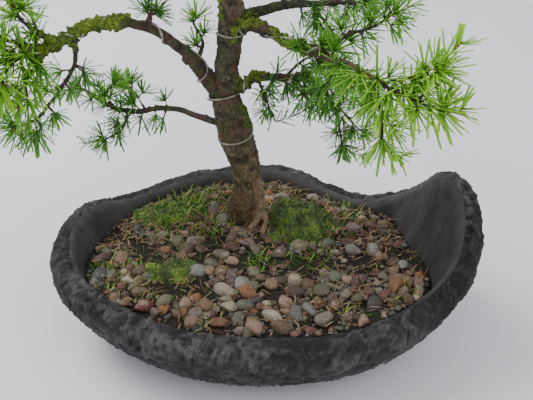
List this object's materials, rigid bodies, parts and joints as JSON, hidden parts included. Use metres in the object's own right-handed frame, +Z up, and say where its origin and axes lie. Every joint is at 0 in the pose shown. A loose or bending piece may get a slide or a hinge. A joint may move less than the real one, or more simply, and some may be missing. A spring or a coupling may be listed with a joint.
{
  "type": "bonsai tree in a pot",
  "caption": "Small wired larch bonsai with layered needle sprays, growing in a rough crescent-shaped pot dressed with pebbles and moss.",
  "frame": {"origin": "centre of the pot's flat foot, on the surface it stands on", "axes": "+X along the pot towards its tall horn, +Y to the back of the pot, +Z up"},
  "size_m": [0.3712, 0.2493, 0.4836],
  "materials": {
    "bark": "flaking bark with patches of lichen",
    "screen": "matt dark plastic",
    "gravel": "mixed small pebbles, matt",
    "moss": "soft green moss",
    "needles": "soft green needles",
    "pebble_brick": "dusty red stone",
    "pebble_buff": "buff stone",
    "pebble_dark": "dark grey green stone",
    "pebble_grey_long": "speckled grey stone",
    "pebble_mottled": "mottled stone",
    "pebble_olive": "olive stone",
    "pebble_pink": "pale pink stone",
    "pebble_red": "matt brick red stone",
    "pebble_round": "grey stone",
    "pebble_rust": "orange red stone",
    "pebble_slate": "dark slate stone",
    "pebble_standing": "cream stone with a brown patch",
    "pebble_streaked": "cream stone with a grey streak",
    "pebble_tan": "orange tan stone",
    "pot": "rough dark grey, smoother inside",
    "soil": "dark crumbly soil",
    "wire": "dull weathered wire"
  },
  "bodies": {
    "root": {"branch_crown_back": "bark", "branch_crown_front": "bark", "branch_crown_high_left": "bark", "branch_crown_high_right": "bark", "branch_crown_left": "bark", "branch_crown_right": "bark", "branch_left_high": "bark", "branch_left_low": "bark", "branch_right_front": "bark", "branch_right_low": "bark", "branch_right_top": "bark", "drain_screen_left": "screen", "drain_screen_right": "screen", "gravel": "gravel", "moss_back": "moss", "moss_left": "moss", "moss_right": "moss", "needles_crown_back_pad": "needles", "needles_crown_front_pad": "needles", "needles_crown_high_left_pad": "needles", "needles_crown_high_right_pad": "needles", "needles_crown_left_pad": "needles", "needles_crown_right_pad": "needles", "needles_crown_tip": "needles", "needles_left_high_back": "needles", "needles_left_high_hanging": "needles", "needles_left_high_outer": "needles", "needles_left_high_rising": "needles", "needles_left_low_back": "needles", "needles_left_low_hanging": "needles", "needles_left_low_inner": "needles", "needles_left_low_outer": "needles", "needles_right_front_hanging": "needles", "needles_right_front_inner": "needles", "needles_right_front_outer": "needles", "needles_right_low_back": "needles", "needles_right_low_front": "needles", "needles_right_low_hanging": "needles", "needles_right_low_outer": "needles", "needles_right_top_back": "needles", "needles_right_top_outer": "needles", "pebble_brick": "pebble_brick", "pebble_buff": "pebble_buff", "pebble_dark": "pebble_dark", "pebble_grey_long": "pebble_grey_long", "pebble_mottled": "pebble_mottled", "pebble_olive": "pebble_olive", "pebble_pink": "pebble_pink", "pebble_red": "pebble_red", "pebble_round": "pebble_round", "pebble_rust": "pebble_rust", "pebble_slate": "pebble_slate", "pebble_standing": "pebble_standing", "pebble_streaked": "pebble_streaked", "pebble_tan": "pebble_tan", "pot": "pot", "soil": "soil", "trunk": "bark", "wire_left_to_right": "wire", "wire_trunk_to_right": "wire"}
  },
  "joints": []
}
